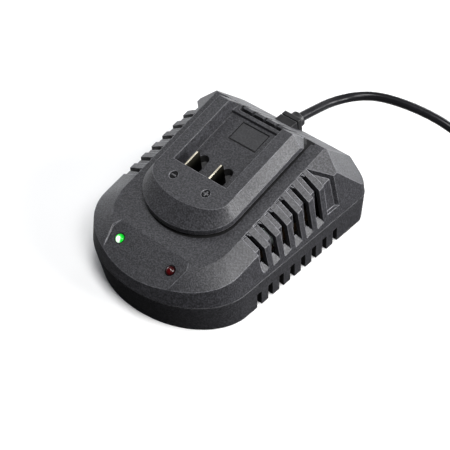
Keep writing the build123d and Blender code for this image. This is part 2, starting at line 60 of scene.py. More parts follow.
# ---------------------------------------------------------------------------------------------
# Viewpoint
# A long lens that looks down on the charger from the front right, with the camera slightly
# rolled.
# ---------------------------------------------------------------------------------------------

camera_place = Vector((0.4116, -0.3465, 0.5275))
camera_target = Vector((0.0103, -0.0039, 0.0203))
camera_roll = math.radians(-8.048)
sensor_width, lens_length = 36, 117.2
camera = bpy.data.objects.new("camera", bpy.data.cameras.new("camera"))
scene.collection.objects.link(camera)
camera.data.sensor_width = sensor_width
camera.data.lens = lens_length
camera.location = camera_place
camera.rotation_euler = (camera_target - camera_place).to_track_quat("-Z", "Y").to_euler()
camera.rotation_euler.rotate_axis("Z", camera_roll)
scene.camera = camera


# ---------------------------------------------------------------------------------------------
# Studio
# A pale table top under soft lamps: one overhead, one high at the front right, three lower ones
# to the right and behind, and two weak ones on the left. None stands low in front, so the
# charger's front wall stays dark.
# ---------------------------------------------------------------------------------------------

lamp_aim = Vector((0, 0, 0.03))
plain_white, cool_white, cold_white = (1, 1, 1), (0.96, 0.98, 1.0), (0.94, 0.96, 1.0)
for name, place, size, power, colour in (
        ("overhead_lamp", (0.20, -0.04, 0.98), (0.35, 0.35), 5.6, plain_white),
        ("front_right_lamp", (0.60, -0.15, 0.82), (0.30, 0.30), 4.4, plain_white),
        ("right_lamp", (0.90, 0.22, 0.40), (0.35, 0.35), 6.9, plain_white),
        ("rear_lamp", (0.0, 1.0, 0.15), (0.90, 0.25), 8.2, cool_white),
        ("rear_right_lamp", (0.75, 0.65, 0.25), (0.40, 0.25), 5.8, plain_white),
        ("top_left_lamp", (-0.45, 0.05, 0.95), (0.40, 0.40), 1.0, cold_white),
        ("left_lamp", (-0.97, 0.15, 0.22), (0.50, 0.25), 2.0, cold_white)):
    lamp = bpy.data.objects.new(name, bpy.data.lights.new(name, "AREA"))
    scene.collection.objects.link(lamp)
    lamp.data.shape = "RECTANGLE"
    lamp.data.size, lamp.data.size_y = size
    lamp.data.energy = power
    lamp.data.color = colour
    lamp.location = place
    lamp.rotation_euler = (lamp_aim - lamp.location).to_track_quat("-Z", "Y").to_euler()


def join(node, inputs):
    """Set sockets of a node to values, or link them to the sockets of other nodes."""
    for socket, value in inputs.items():
        if isinstance(value, bpy.types.NodeSocket):
            node.id_data.links.new(value, node.inputs[socket])
        else:
            node.inputs[socket].default_value = value


def fit(tree, kind, inputs=None, **settings):
    """One new node in a material, with its settings made and its inputs joined."""
    node = tree.nodes.new("ShaderNode" + kind)
    for name, setting in settings.items():
        setattr(node, name, setting)
    join(node, inputs or {})
    return node


def reckon(tree, operation, *terms):
    """The result of a calculation on sockets and numbers."""
    return fit(tree, "Math", dict(enumerate(terms)), operation=operation).outputs["Value"]


def graded(tree, value, start, end, low=0.0, high=1.0, **settings):
    """A value that goes from low to high while another goes from start to end."""
    inputs = {"Value": value, "From Min": start, "From Max": end, "To Min": low, "To Max": high}
    return fit(tree, "MapRange", inputs, **settings).outputs["Result"]


def tinted(tree, mask, under, over):
    """The colour of one layer under another that a mask lets show."""
    inputs = {"Factor": mask}
    for end, colour in (("A", under), ("B", over)):
        inputs[end] = colour if isinstance(colour, bpy.types.NodeSocket) else (*colour, 1)
    return fit(tree, "Mix", inputs, data_type="RGBA").outputs["Result"]


# a white backdrop where it is seen, a weak fill, and a room that is darker in front and overhead
# where it is mirrored
world = bpy.data.worlds.new("studio")
scene.world = world
world.use_nodes = True
room = world.node_tree
room.nodes.clear()
ray = fit(room, "LightPath").outputs
seen = reckon(room, "MAXIMUM", ray["Is Camera Ray"], ray["Is Transmission Ray"])
view = fit(room, "TexCoord").outputs["Generated"]
direction = fit(room, "SeparateXYZ", {"Vector": view}).outputs
dim_overhead = graded(room, direction["Z"], 0.10, 0.60, 0.80, 0.22)
dark_front = graded(room, direction["Y"], -0.70, 0.0, 0.15, 1.0)
mirrored_strength = reckon(room, "MULTIPLY", dim_overhead, dark_front)
fill = fit(room, "Background", {"Color": (0.90, 0.93, 1.0, 1), "Strength": 0.05})
mirrored = fit(room, "Background", {"Color": (1, 1, 1, 1), "Strength": mirrored_strength})
backdrop = fit(room, "Background", {"Color": (1, 1, 1, 1)})
unseen = fit(room, "MixShader", {"Fac": ray["Is Glossy Ray"], 1: fill.outputs["Background"],
                                 2: mirrored.outputs["Background"]})
shown = fit(room, "MixShader", {"Fac": seen, 1: unseen.outputs["Shader"],
                                2: backdrop.outputs["Background"]})
fit(room, "OutputWorld", {"Surface": shown.outputs["Shader"]})

table_reach = 6.0
table_corners = [(x * table_reach, y * table_reach, 0)
                 for x, y in ((-1, -1), (1, -1), (1, 1), (-1, 1))]
table_mesh = bpy.data.meshes.new("table")
table_mesh.from_pydata(table_corners, [], [(0, 1, 2, 3)])
table = bpy.data.objects.new("table", table_mesh)
scene.collection.objects.link(table)

# the table is pale where it is seen and where its rear left part is mirrored, throws little
# light back on the charger, and fades into the white backdrop further out
table_top = bpy.data.materials.new("table_top")
table_top.use_nodes = True
tree = table_top.node_tree
table_shader = tree.nodes["Principled BSDF"]
ray = fit(tree, "LightPath").outputs
seen = reckon(tree, "MAXIMUM", ray["Is Camera Ray"], ray["Is Transmission Ray"])
place = fit(tree, "NewGeometry").outputs["Position"]
to_rear_left = fit(tree, "VectorMath", {0: place, 1: (-0.75, 0.66, 0)}, operation="DOT_PRODUCT")
pale_rear_left = graded(tree, to_rear_left.outputs["Value"], 0.0, 0.13, 0.0, 0.95)
mirrored = reckon(tree, "MULTIPLY", pale_rear_left, ray["Is Glossy Ray"])
pale = reckon(tree, "MAXIMUM", seen, mirrored)
from_charger = fit(tree, "VectorMath", {0: place}, operation="LENGTH").outputs["Value"]
far_out = graded(tree, from_charger, 0.30, 1.00, interpolation_type="SMOOTHSTEP")
join(table_shader, {"Roughness": 0.85, "Specular IOR Level": 0.1,
                    "Base Color": tinted(tree, pale, (0.03, 0.03, 0.031), (0.94, 0.94, 0.94))})
white = fit(tree, "Emission").outputs["Emission"]
faded_table = fit(tree, "MixShader", {"Fac": reckon(tree, "MULTIPLY", far_out, seen),
                                      1: table_shader.outputs["BSDF"], 2: white})
join(tree.nodes["Material Output"], {"Surface": faded_table.outputs["Shader"]})
table_mesh.materials.append(table_top)


# ---------------------------------------------------------------------------------------------
# Mains lead
# Two-core lead in smooth black PVC, 5 mm thick. It leaves the strain relief, sags, curls to the
# right and runs down to the table, where the rest is wound in two flat layers under its plug.
# ---------------------------------------------------------------------------------------------

lead_diameter = 0.005
lead_exit = (0.0, 0.0645, 0.0383)
free_run = [lead_exit, (-0.0004, 0.078, 0.0352), (-0.0005, 0.0917, 0.0315),
            (0.0052, 0.1039, 0.030), (0.016, 0.112, 0.0296), (0.0375, 0.1166, 0.0285),
            (0.058, 0.1185, 0.025), (0.082, 0.1186, 0.014), (0.104, 0.1176, 0.0025),
            (0.124, 0.1171, 0.0025)]
plug_run = [(0.1563, 0.1136, 0.013), (0.1676, 0.1009, 0.0145), (0.170, 0.0841, 0.016),
            (0.1628, 0.0687, 0.0169)]
coil_centre = Vector((0.139, 0.082, 0))
coil_turns, points_in_coil = 6.042, 48
coil_start = math.radians(90)
widest_turn, turn_spacing = 0.035, 0.00515
climb_turns, rise_to_plug = 0.25, 0.003
layer_turns = (coil_turns - climb_turns) / 2
tightest_turn = widest_turn - turn_spacing * layer_turns
corner_reach = 1 / math.cos(math.pi * coil_turns / points_in_coil)

# the lower layer winds inwards, then the lead climbs on top of it and winds outwards
wound_run = []
for index in range(points_in_coil):
    turn = (index + 0.5) * coil_turns / points_in_coil
    upper_turn = max(turn - layer_turns - climb_turns, 0)
    radius = max(widest_turn - turn_spacing * turn, tightest_turn) + turn_spacing * upper_turn
    climbed = min(max((turn - layer_turns) / climb_turns, 0), 1)
    lifted = max(turn - coil_turns + climb_turns, 0) / climb_turns
    height = lead_diameter * (0.5 + climbed) + rise_to_plug * lifted
    angle = coil_start - turn * math.tau
    around = Vector((math.cos(angle), math.sin(angle), 0))
    wound_run.append(coil_centre + around * radius * corner_reach + Vector((0, 0, height)))

lead_curve = bpy.data.curves.new("mains_lead", "CURVE")
lead_curve.dimensions = "3D"
lead_curve.bevel_depth = 1.0
lead_curve.bevel_resolution = 6
lead_curve.resolution_u = 8
lead_curve.use_fill_caps = True
lead_line = lead_curve.splines.new("NURBS")
lead_points = free_run + wound_run + plug_run
lead_line.points.add(len(lead_points) - 1)
for point, place in zip(lead_line.points, lead_points):
    point.co = (*place, 1)
    point.radius = lead_diameter / 2
lead_line.order_u = 3
lead_line.use_endpoint_u = True
mains_lead = bpy.data.objects.new("mains_lead", lead_curve)
scene.collection.objects.link(mains_lead)
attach(mains_lead, charger)
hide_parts("mains_cord", "mains_cord_coil", "mains_cord_tail")


def new_finish(name, colour, roughness, metallic=0.0):
    """A new material, with its node tree and its Principled shader."""
    finish = bpy.data.materials.new(name)
    finish.use_nodes = True
    shader = finish.node_tree.nodes["Principled BSDF"]
    join(shader, {"Base Color": (*colour, 1), "Roughness": roughness, "Metallic": metallic})
    return finish, finish.node_tree, shader


def new_group(name, inputs, **outputs):
    """An empty node group, with the sockets that it takes in and its output node."""
    group = bpy.data.node_groups.new(name, "ShaderNodeTree")
    for label, value in inputs.items():
        socket = group.interface.new_socket(label, in_out="INPUT", socket_type="NodeSocketFloat")
        socket.default_value = value
    for label, kind in outputs.items():
        group.interface.new_socket(label, in_out="OUTPUT", socket_type="NodeSocket" + kind)
    given = group.nodes.new("NodeGroupInput").outputs
    return group, given, group.nodes.new("NodeGroupOutput")


# fine uneven grain of a spark-eroded mould, and slow drift in tone over the surface
grain_group, given, result = new_group("mould_grain", {"Grain Size": 0.0004, "Drift Size": 0.02},
                                       Height="Float", Specks="Float", Drift="Float")
place = fit(grain_group, "TexCoord").outputs["Object"]
grain_scale = reckon(grain_group, "DIVIDE", 1, given["Grain Size"])
drift_scale = reckon(grain_group, "DIVIDE", 1, given["Drift Size"])
pits = fit(grain_group, "TexVoronoi", {"Vector": place, "Scale": grain_scale, "Smoothness": 0.6},
           feature="SMOOTH_F1").outputs["Distance"]
ripple = fit(grain_group, "TexNoise",
             {"Vector": place, "Scale": grain_scale, "Detail": 3}).outputs["Fac"]
drift = fit(grain_group, "TexNoise",
            {"Vector": place, "Scale": drift_scale, "Detail": 4}).outputs["Fac"]
join(result, {"Height": reckon(grain_group, "MULTIPLY_ADD", pits, 0.6, ripple),
              "Specks": graded(grain_group, ripple, 0.40, 0.68),
              "Drift": graded(grain_group, drift, 0.3, 0.7)})

lead_finish, tree, shader = new_finish("black_pvc", (0.010, 0.010, 0.011), 0.28)
grain = fit(tree, "Group", {"Grain Size": 0.0012, "Drift Size": 0.03},
            node_tree=grain_group).outputs
relief = fit(tree, "Bump", {"Strength": 0.25, "Distance": 0.00006, "Height": grain["Height"]})
join(shader, {
    "Specular IOR Level": 0.22,
    "Base Color": tinted(tree, grain["Drift"], (0.005, 0.005, 0.006), (0.012, 0.012, 0.014)),
    "Roughness": graded(tree, grain["Drift"], 0, 1, 0.16, 0.30),
    "Normal": relief.outputs["Normal"]})
lead_curve.materials.append(lead_finish)


# ---------------------------------------------------------------------------------------------
# Upper housing
# Charcoal ABS, moulded in one piece in a spark-eroded tool that leaves an even matt grain. Its
# edges are softened a little by the tool, and their pale colour is partly rubbing by the batteries
# slid on and off and partly a painted highlight. Black painted shade fills its gaps.
# ---------------------------------------------------------------------------------------------

# rounding that a mould leaves on every edge, and the mask along it for a pale colour that is
# partly wear and partly a painted highlight
edge_group, given, result = new_group("soft_edge", {"Radius": 0.0004, "Wear And Highlight": 0.5},
                                      Normal="Vector", Worn="Float")
rounded = fit(edge_group, "Bevel", {"Radius": given["Radius"]}, samples=6).outputs["Normal"]
surface = fit(edge_group, "NewGeometry").outputs["Normal"]
facing = fit(edge_group, "VectorMath", {0: rounded, 1: surface}, operation="DOT_PRODUCT")
place = fit(edge_group, "TexCoord").outputs["Object"]
patches = fit(edge_group, "TexNoise", {"Vector": place, "Scale": 260, "Detail": 5}).outputs["Fac"]
wear_and_highlight_edges = reckon(edge_group, "MULTIPLY", graded(edge_group, facing.outputs["Value"], 0.995, 0.90),
                graded(edge_group, patches, 0.20, 0.60))
join(result, {"Worn": reckon(edge_group, "MULTIPLY", wear_and_highlight_edges, given["Wear And Highlight"]), "Normal": rounded})

# thin dust that settles on what faces up
dust_group, given, result = new_group("settled_dust", {"Amount": 0.1, "Patch Size": 0.006},
                                      Dust="Float")
surface = fit(dust_group, "NewGeometry").outputs["Normal"]
up = fit(dust_group, "SeparateXYZ", {"Vector": surface}).outputs["Z"]
place = fit(dust_group, "TexCoord").outputs["Object"]
patch_scale = reckon(dust_group, "DIVIDE", 1, given["Patch Size"])
patches = fit(dust_group, "TexNoise", {"Vector": place, "Scale": patch_scale, "Detail": 8,
                                       "Roughness": 0.7}).outputs["Fac"]
settled = reckon(dust_group, "MULTIPLY", graded(dust_group, up, 0.3, 1),
                 graded(dust_group, patches, 0.45, 0.75))
join(result, {"Dust": reckon(dust_group, "MULTIPLY", settled, given["Amount"])})
dust_colour = (0.30, 0.29, 0.28)


def moulded_plastic(name, dark, light, roughness, grain_size=0.0004, grain_depth=0.00006,
                    edge_radius=0.0004, wear_and_highlight=0.5, wear_and_highlight_colour=(0.09, 0.09, 0.095), dust=0.06,
                    shine=0.5):
    """Grained injection-moulded plastic with soft edges made paler by wear and a painted
    highlight, and a little dust.
    """
    finish, tree, shader = new_finish(name, light, roughness)
    grain = fit(tree, "Group", {"Grain Size": grain_size, "Drift Size": 0.02},
                node_tree=grain_group).outputs
    edge = fit(tree, "Group", {"Radius": edge_radius, "Wear And Highlight": wear_and_highlight}, node_tree=edge_group).outputs
    dusty = fit(tree, "Group", {"Amount": dust, "Patch Size": 0.004},
                node_tree=dust_group).outputs["Dust"]
    colour = tinted(tree, grain["Specks"], dark, light)
    colour = tinted(tree, edge["Worn"], colour, wear_and_highlight_colour)
    colour = tinted(tree, dusty, colour, dust_colour)
    relief = fit(tree, "Bump", {"Strength": 0.5, "Distance": grain_depth,
                                "Height": grain["Height"], "Normal": edge["Normal"]})
    gloss = graded(tree, grain["Drift"], 0, 1, roughness - 0.05, roughness + 0.07)
    join(shader, {"Specular IOR Level": shine, "Base Color": colour, "Roughness": gloss,
                  "Normal": relief.outputs["Normal"]})
    return finish


def dress(finish, *names):
    """Put a finish on parts of the charger."""
    for name in names:
        for slot in frame["nodes"][name].material_slots:
            slot.material = finish


# the pale edge colour here is partly wear and partly a painted highlight along the rims and ribs
upper_finish = moulded_plastic("charcoal_abs", (0.014, 0.014, 0.016), (0.060, 0.060, 0.068), 0.46,
                               grain_size=0.0008, grain_depth=0.00022, edge_radius=0.0007,
                               wear_and_highlight=0.95, wear_and_highlight_colour=(0.25, 0.25, 0.27), dust=0.03)
dress(upper_finish, "upper_housing")

# painted shade: black and matt where little light reaches, under the lip of the dock, in the
# wells, round the cover panel, in the comb of the tub and its notches, in the cuts of the rear
# slope and in the latch slot
deck_height, deck_rise = 0.04184, 0.235
lip_half_width, lip_depth, lip_centre, lip_rear = 0.0294, 0.02005, -0.0127, 0.043
lip_underside, lip_margin = 0.0023, 0.0003
channel_half_width, channel_front, channel_floor, well_rear = 0.0182, -0.0065, 0.002, 0.0092
cover_half_width, cover_half_length, cover_y = 0.00885, 0.00565, 0.02855
cover_gap_reach, cover_top = 0.00026, 0.0005
comb_middle, comb_half_length, comb_half_width, comb_top = 0.0085, 0.0345, 0.0466, 0.0101
first_notch, notch_pitch, last_notch = -0.0207, 0.008, 7
notch_half_width, notch_top = 0.00168, 0.00992
rear_slope_reach, rear_cut_middle, rear_cut_half_length = 0.0958, 0.0515, 0.0092
rear_cut_half_width, rear_cut_low = 0.031, 0.034
latch_slot_y, latch_slot_half_width, latch_slot_half_length = 0.0393, 0.00105, 0.0157
ridge_top, skin = 0.054, 0.0002
painted_shade_strength, painted_shade_colour, painted_shade_roughness = 0.92, (0.001, 0.001, 0.001), 0.95
gap_shade_group, given, result = new_group("painted_gap_shade", {"Depth": 1.0}, Gap="Float", Sheltered="Float")


def below(value, limit):
    """Where a value of the gap group is under a limit."""
    return reckon(gap_shade_group, "LESS_THAN", value, limit)


def above(value, limit):
    """Where a value of the gap group is over a limit."""
    return reckon(gap_shade_group, "GREATER_THAN", value, limit)


def within(value, middle, reach):
    """Where a value of the gap group lies near a middle."""
    return reckon(gap_shade_group, "COMPARE", value, middle, reach)


def overlap(*masks):
    """Where all the masks of a gap hold."""
    shared = masks[0]
    for mask in masks[1:]:
        shared = reckon(gap_shade_group, "MULTIPLY", shared, mask)
    return shared


place = fit(gap_shade_group, "TexCoord").outputs["Object"]
sides = fit(gap_shade_group, "SeparateXYZ", {"Vector": place}).outputs
across, along, up = reckon(gap_shade_group, "ABSOLUTE", sides["X"]), sides["Y"], sides["Z"]
deck_here = reckon(gap_shade_group, "MULTIPLY_ADD", along, deck_rise, deck_height)
above_deck = reckon(gap_shade_group, "SUBTRACT", up, deck_here)
in_channel = overlap(below(across, channel_half_width), above(along, channel_front))
lip_side = reckon(gap_shade_group, "DIVIDE", across, lip_half_width)
from_lip_centre = reckon(gap_shade_group, "SUBTRACT", along, lip_centre)
lip_front = reckon(gap_shade_group, "DIVIDE", reckon(gap_shade_group, "MINIMUM", from_lip_centre, 0),
                   lip_depth)
lip_outline = reckon(gap_shade_group, "MULTIPLY_ADD", lip_side, lip_side,
                     reckon(gap_shade_group, "MULTIPLY", lip_front, lip_front))
under_lip = overlap(within(above_deck, lip_underside / 2, lip_underside / 2 + lip_margin),
                    below(lip_outline, 1), below(along, lip_rear),
                    reckon(gap_shade_group, "SUBTRACT", 1, in_channel))
wells = overlap(in_channel, below(above_deck, channel_floor - skin), below(along, well_rear))
from_cover = reckon(gap_shade_group, "ABSOLUTE", reckon(gap_shade_group, "SUBTRACT", along, cover_y))
past_cover = reckon(gap_shade_group, "MAXIMUM",
                    reckon(gap_shade_group, "SUBTRACT", across, cover_half_width),
                    reckon(gap_shade_group, "SUBTRACT", from_cover, cover_half_length))
cover_gap = overlap(within(past_cover, cover_gap_reach / 4, cover_gap_reach),
                    below(above_deck, channel_floor + cover_top))
comb = overlap(within(along, comb_middle, comb_half_length), below(across, comb_half_width),
               below(up, comb_top))
from_first_notch = reckon(gap_shade_group, "SUBTRACT", along, first_notch)
notches_along = reckon(gap_shade_group, "DIVIDE", from_first_notch, notch_pitch)
from_notch = reckon(gap_shade_group, "PINGPONG", notches_along, 0.5)
notches = overlap(below(from_notch, notch_half_width / notch_pitch),
                  within(notches_along, last_notch / 2, last_notch / 2 + 0.5),
                  below(up, notch_top))
rear_cuts = overlap(within(along, rear_cut_middle, rear_cut_half_length),
                    below(reckon(gap_shade_group, "ADD", along, up), rear_slope_reach),
                    below(across, rear_cut_half_width), above(up, rear_cut_low))
latch_slot = overlap(within(along, latch_slot_y, latch_slot_half_width),
                     below(up, ridge_top - skin), above(above_deck, channel_floor),
                     below(across, latch_slot_half_length))
shaded_gaps = under_lip
for shaded_part in (wells, cover_gap, comb, notches, rear_cuts, latch_slot):
    shaded_gaps = reckon(gap_shade_group, "MAXIMUM", shaded_gaps, shaded_part)
join(result, {"Gap": reckon(gap_shade_group, "MULTIPLY", shaded_gaps, given["Depth"]),
              "Sheltered": in_channel})


def paint_gap_shade(finish):
    """Paint matt black shade into a finish's gaps and take its pale edges out of the channel."""
    tree = finish.node_tree
    shader = tree.nodes["Principled BSDF"]
    shaded_gaps = fit(tree, "Group", {"Depth": painted_shade_strength}, node_tree=gap_shade_group).outputs
    wear_and_highlight_edges = next(link for link in tree.links if link.from_socket.name == "Worn")
    open_edge = reckon(tree, "SUBTRACT", 1, shaded_gaps["Sheltered"])
    tree.links.new(reckon(tree, "MULTIPLY", wear_and_highlight_edges.from_socket, open_edge), wear_and_highlight_edges.to_socket)
    lit_colour, lit_gloss = (shader.inputs[name].links[0].from_socket
                             for name in ("Base Color", "Roughness"))
    gloss = fit(tree, "Mix", {"Factor": shaded_gaps["Gap"], "A": lit_gloss, "B": painted_shade_roughness},
                data_type="FLOAT").outputs["Result"]
    join(shader, {"Base Color": tinted(tree, shaded_gaps["Gap"], lit_colour, painted_shade_colour),
                  "Roughness": gloss})


# painted shade in the gaps of the upper housing, and no pale edges in the dock channel
paint_gap_shade(upper_finish)


# ---------------------------------------------------------------------------------------------
# Lower housing
# The tub below the parting line, moulded in the same charcoal ABS from a tool with a slightly
# coarser grain. Four screws pull it up against the upper housing.
# ---------------------------------------------------------------------------------------------

lower_finish = moulded_plastic("charcoal_abs_tub", (0.012, 0.012, 0.014), (0.048, 0.048, 0.054),
                               0.54, grain_size=0.0009, grain_depth=0.00022, wear_and_highlight=0.8,
                               wear_and_highlight_colour=(0.15, 0.15, 0.16), dust=0.02)
# painted shade: black in the comb of the tub and its notches
paint_gap_shade(lower_finish)
dress(lower_finish, "lower_housing")


# ---------------------------------------------------------------------------------------------
# Contact blades
# Two flat blades stamped from brass sheet, 0.8 mm thick, pushed up through the wells of the
# dock. Painted shade darkens them towards the foot in the well, and a painted highlight brightens
# their crests.
# ---------------------------------------------------------------------------------------------

# long fine lines along the strip, and tarnish in patches
strip_group, given, result = new_group("rolled_strip",
                                       {"Line Size": 0.0002, "Tarnish Size": 0.004},
                                       Lines="Float", Tarnish="Float")
place = fit(strip_group, "TexCoord").outputs["Object"]
stretched = fit(strip_group, "VectorMath", {0: place, 1: (1.0, 0.04, 1.0)},
                operation="MULTIPLY").outputs["Vector"]
line_scale = reckon(strip_group, "DIVIDE", 1, given["Line Size"])
tarnish_scale = reckon(strip_group, "DIVIDE", 1, given["Tarnish Size"])
lines = fit(strip_group, "TexNoise",
            {"Vector": stretched, "Scale": line_scale, "Detail": 2}).outputs["Fac"]
tarnish = fit(strip_group, "TexNoise",
              {"Vector": place, "Scale": tarnish_scale, "Detail": 6}).outputs["Fac"]
join(result, {"Lines": lines, "Tarnish": graded(strip_group, tarnish, 0.42, 0.72)})


def bare_metal(name, bright, dull, roughness, tarnish_size=0.004):
    """Bare metal with fine lines, dull patches and softened edges."""
    finish, tree, shader = new_finish(name, bright, roughness, metallic=1.0)
    strip = fit(tree, "Group", {"Line Size": 0.0002, "Tarnish Size": tarnish_size},
                node_tree=strip_group).outputs
    edge = fit(tree, "Group", {"Radius": 0.00015, "Wear And Highlight": 1.0}, node_tree=edge_group).outputs
    relief = fit(tree, "Bump", {"Strength": 0.3, "Distance": 0.00002,
                                "Height": strip["Lines"], "Normal": edge["Normal"]})
    join(shader, {"Base Color": tinted(tree, strip["Tarnish"], bright, dull),
                  "Roughness": graded(tree, strip["Tarnish"], 0, 1, roughness, roughness + 0.18),
                  "Normal": relief.outputs["Normal"]})
    return finish


def colour_bands(tree, value, bands, interpolation="LINEAR"):
    """A colour picked by a value from (position, colour) pairs in rising order."""
    ramp = fit(tree, "ValToRGB", {"Fac": value})
    ramp.color_ramp.interpolation = interpolation
    ends = ramp.color_ramp.elements
    ends[0].position, ends[0].color = bands[0][0], (*bands[0][1], 1)
    ends[1].position, ends[1].color = bands[-1][0], (*bands[-1][1], 1)
    for position, colour in bands[1:-1]:
        ends.new(position).color = (*colour, 1)
    return ramp.outputs["Color"]


# painted shade and highlight: the tone rises from near black at the foot in the well to a bright
# painted highlight at the crest, along the slope of the deck
blade_crest, blade_foot = 0.05222, 0.0440
blade_finish = bare_metal("blade_brass", (0.30, 0.28, 0.21), (0.16, 0.145, 0.105), 0.36)
tree = blade_finish.node_tree
shader = tree.nodes["Principled BSDF"]
rolled = shader.inputs["Base Color"].links[0].from_socket
place = fit(tree, "TexCoord").outputs["Object"]
height = fit(tree, "VectorMath", {0: place, 1: (0, -deck_rise, 1)}, operation="DOT_PRODUCT")
tone = colour_bands(tree, graded(tree, height.outputs["Value"], blade_foot, blade_crest),
                    ((0.0, (0.01, 0.01, 0.009)), (0.45, (0.08, 0.08, 0.08)),
                     (0.955, (0.42, 0.42, 0.42)), (0.985, (2.8, 2.8, 3.0))))
painted_shade_and_highlight = fit(tree, "Mix", {"Factor": 1, "A": rolled, "B": tone}, data_type="RGBA",
             blend_type="MULTIPLY").outputs["Result"]
join(shader, {"Base Color": painted_shade_and_highlight})
dress(blade_finish, "contact_blade_negative", "contact_blade_positive")


# ---------------------------------------------------------------------------------------------
# Polarity signs
# A bar and a cross, moulded with the upper housing, that stand up from the floors of two round
# recesses ahead of the blades. A black disc on each floor is painted shade.
# ---------------------------------------------------------------------------------------------

sign_x, sign_y = 0.0111, -0.01375
sign_length, sign_width, sign_height = 0.0030, 0.0008, 0.0004
sign_step, sign_rounding = 0.00001, 0.00012
disc_radius, disc_lift, round_sides = 0.00235, 0.00006, 40
platform_height, recess_depth = 0.01118, 0.0005
recess_floor = deck_height + platform_height - recess_depth + deck_rise * sign_y
deck_tilt = Matrix.Rotation(math.atan(deck_rise), 4, "X")
sign_finish = moulded_plastic("sign_top", (0.060, 0.060, 0.064), (0.11, 0.11, 0.118), 0.42,
                              edge_radius=0.0002)
shade_disc_finish = moulded_plastic("sign_shade_disc", (0.003, 0.003, 0.004), (0.007, 0.007, 0.008), 0.55,
                              wear_and_highlight=0.0, dust=0.0, shine=0.2)


def seat_piece(name, shape, seat, tilt, finish):
    """Set a shape that was drawn flat on its seat in the housing."""
    mesh = bpy.data.meshes.new(name)
    shape.to_mesh(mesh)
    shape.free()
    mesh.transform(Matrix.Translation(seat) @ tilt)
    mesh.materials.append(finish)
    piece = bpy.data.objects.new(name, mesh)
    scene.collection.objects.link(piece)
    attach(piece, charger)
    return piece


# painted shade: a thin black disc just above the moulded floor of each recess
for x in (-sign_x, sign_x):
    shape = bmesh.new()
    bmesh.ops.create_circle(shape, cap_ends=True, segments=round_sides, radius=disc_radius)
    seat_piece("sign_shade_disc", shape, (x, sign_y, recess_floor + disc_lift), deck_tilt, shade_disc_finish)

# the upright bar of the cross stands a hair higher, so that the two tops don't share a face
level_bar = (sign_length, sign_width, sign_height)
upright_bar = (sign_width, sign_length, sign_height + sign_step)
for name, x, bars in (("sign_negative", -sign_x, (level_bar,)),
                      ("sign_positive", sign_x, (level_bar, upright_bar))):
    shape = bmesh.new()
    for length, width, rise in bars:
        stretch = Matrix.Diagonal((length, width, rise, 1))
        bmesh.ops.create_cube(shape, size=1, matrix=Matrix.Translation((0, 0, rise / 2)) @ stretch)
    sign = seat_piece(name, shape, (x, sign_y, recess_floor), deck_tilt, sign_finish)
    softened = sign.modifiers.new("softened_edges", "BEVEL")
    softened.width = sign_rounding
    softened.segments = 2


# ---------------------------------------------------------------------------------------------
# Cover panel
# Blank ABS panel pressed into a pocket in the floor of the dock channel, where a model with a
# data contact has its socket.
# ---------------------------------------------------------------------------------------------

cover_finish = moulded_plastic("cover_abs", (0.022, 0.022, 0.024), (0.044, 0.044, 0.048), 0.42,
                               grain_size=0.0008, grain_depth=0.00010, edge_radius=0.0004,
                               wear_and_highlight=0.6, wear_and_highlight_colour=(0.11, 0.11, 0.12), dust=0.03)
# painted shade: black in the narrow gap round the panel
paint_gap_shade(cover_finish)
dress(cover_finish, "cover_panel")


# ---------------------------------------------------------------------------------------------
# Indicator lamps
# Two 5 mm lamps cast in tinted clear epoxy. The green one is lit, almost white at its heart and
# green round the rim, and the red one is off, yet it keeps a faint painted glow, brightest at its
# heart. A bridge under the recess grips their flanges.
# ---------------------------------------------------------------------------------------------

lamp_x, lamp_y, lamp_radius = 0.0178, -0.0484, 0.0025
heart_right, heart_forward, glow_reach = 0.12, 0.62, 1.6
for name, x, rim, body, heart, power in (
        ("lamp_green", -lamp_x, (0.0, 0.10, 0.005), (0.004, 0.42, 0.02), (0.80, 1.0, 0.80), 0.95),
        ("lamp_red", lamp_x, (0.006, 0.0, 0.0), (0.028, 0.0005, 0.001), (0.060, 0.001, 0.002),
         0.10)):
    finish, tree, shader = new_finish(name + "_epoxy", body, 0.12)
    place = fit(tree, "TexCoord").outputs["Object"]
    flat = fit(tree, "VectorMath", {0: place, 1: (1, 1, 0)}, operation="MULTIPLY")
    heart_place = (x + lamp_radius * heart_right, lamp_y - lamp_radius * heart_forward, 0)
    from_heart = fit(tree, "VectorMath", {0: flat.outputs["Vector"], 1: heart_place},
                     operation="DISTANCE").outputs["Value"]
    glow = colour_bands(tree, reckon(tree, "DIVIDE", from_heart, lamp_radius * glow_reach),
                        ((0.20, heart), (0.38, body), (0.95, rim)), "EASE")
    # the green lamp's glow is its own light; the red lamp's small emission is a painted glow
    join(shader, {"IOR": 1.54, "Specular IOR Level": 0.3, "Coat Weight": 0.1,
                  "Coat Roughness": 0.05, "Emission Strength": power, "Emission Color": glow,
                  "Base Color": glow})
    dress(finish, name)

# painted shade: a thin black ring round each lamp, where it meets its hole in the sunk panel
panel_height, panel_rise, shade_ring_width = 0.0516, 0.474, 0.0004
shade_ring_lift = 0.00006
panel_tilt = Matrix.Rotation(math.atan(panel_rise), 4, "X")
ring_height = panel_height + panel_rise * lamp_y + shade_ring_lift
shade_ring_finish = moulded_plastic("lamp_shade_ring", (0.001, 0.001, 0.001), (0.002, 0.002, 0.002), 0.95,
                             wear_and_highlight=0.0, dust=0.0, shine=0.1)
turns = [math.tau * step / round_sides for step in range(round_sides)]
for x in (-lamp_x, lamp_x):
    shape = bmesh.new()
    inner, outer = ([shape.verts.new((radius * math.cos(turn), radius * math.sin(turn), 0))
                     for turn in turns] for radius in (lamp_radius, lamp_radius + shade_ring_width))
    for step in range(round_sides):
        after = (step + 1) % round_sides
        shape.faces.new((inner[step], outer[step], outer[after], inner[after]))
    seat_piece("lamp_shade_ring", shape, (x, lamp_y, ring_height), panel_tilt, shade_ring_finish)

